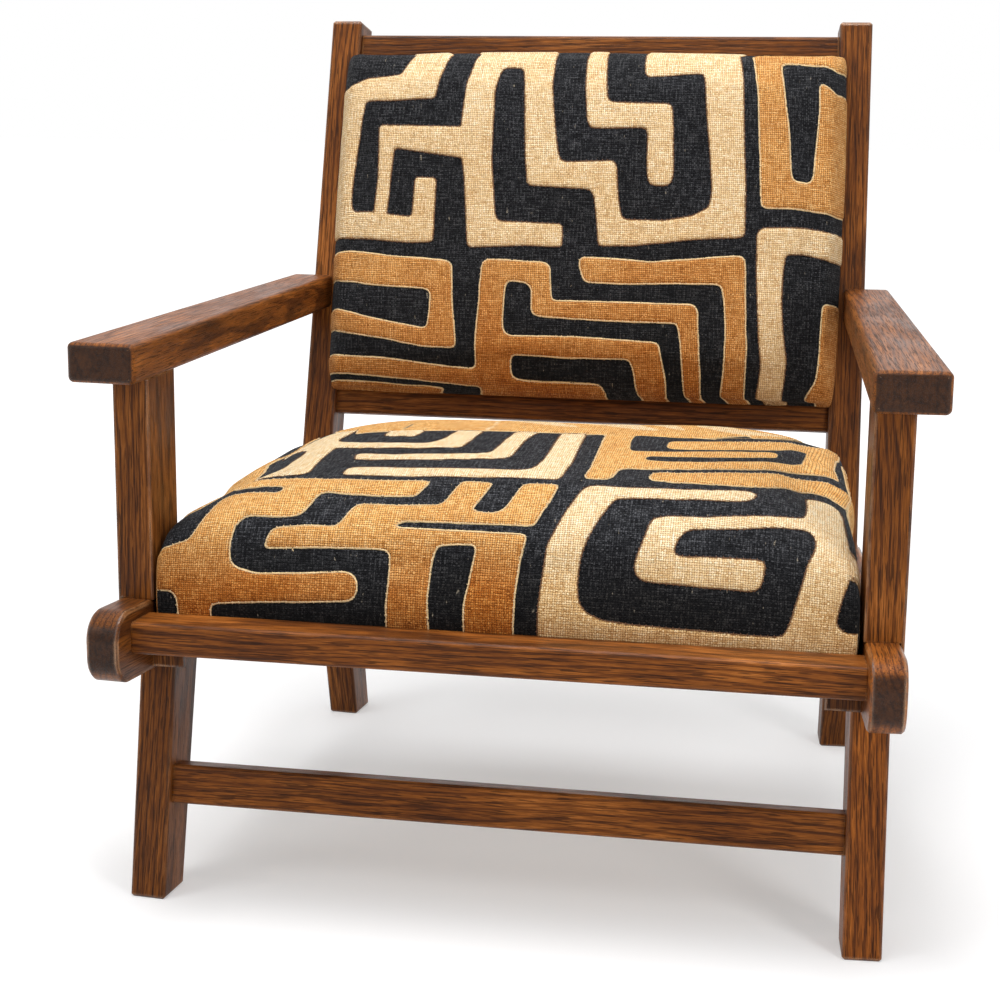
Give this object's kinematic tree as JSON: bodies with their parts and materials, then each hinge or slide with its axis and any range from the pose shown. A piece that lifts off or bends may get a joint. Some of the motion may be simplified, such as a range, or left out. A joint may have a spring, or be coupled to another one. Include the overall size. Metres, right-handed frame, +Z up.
{
  "type": "lounge chair",
  "caption": "Low wooden lounge armchair with splayed legs, a leaning back, and a padded seat and back covered in appliqued raffia cloth in cream, ochre and charcoal.",
  "frame": {"origin": "on the floor, under the middle of the chair's bounding box", "axes": "+Z up, +Y towards the back of the chair, +X towards the side that is on the right in the picture"},
  "size_m": [0.7184, 0.6663, 0.7865],
  "materials": {
    "wood": "waxed hardwood, worn along the edges",
    "plywood": "raw plywood",
    "raffia_cloth": "coarse woven raffia, matte, with appliqued patches",
    "steel": "zinc plated"
  },
  "bodies": {
    "root": {"arm_left": "wood", "arm_post_left": "wood", "arm_post_right": "wood", "arm_right": "wood", "arm_screw_plugs": "wood", "arm_screws": "steel", "back_pad": "raffia_cloth", "back_panel": "plywood", "back_panel_screws": "steel", "back_post_left": "wood", "back_post_right": "wood", "cleat_screws": "steel", "corner_blocks": "wood", "front_cleat": "wood", "front_leg_left": "wood", "front_leg_right": "wood", "front_rail": "wood", "front_stretcher": "wood", "leg_lip_screws": "steel", "lower_back_rail": "wood", "rear_leg_left": "wood", "rear_leg_right": "wood", "rear_rail": "wood", "seat_board": "plywood", "seat_cushion": "raffia_cloth", "side_cleat_left": "wood", "side_cleat_right": "wood", "side_rail_left": "wood", "side_rail_right": "wood", "top_back_rail": "wood"}
  },
  "joints": []
}
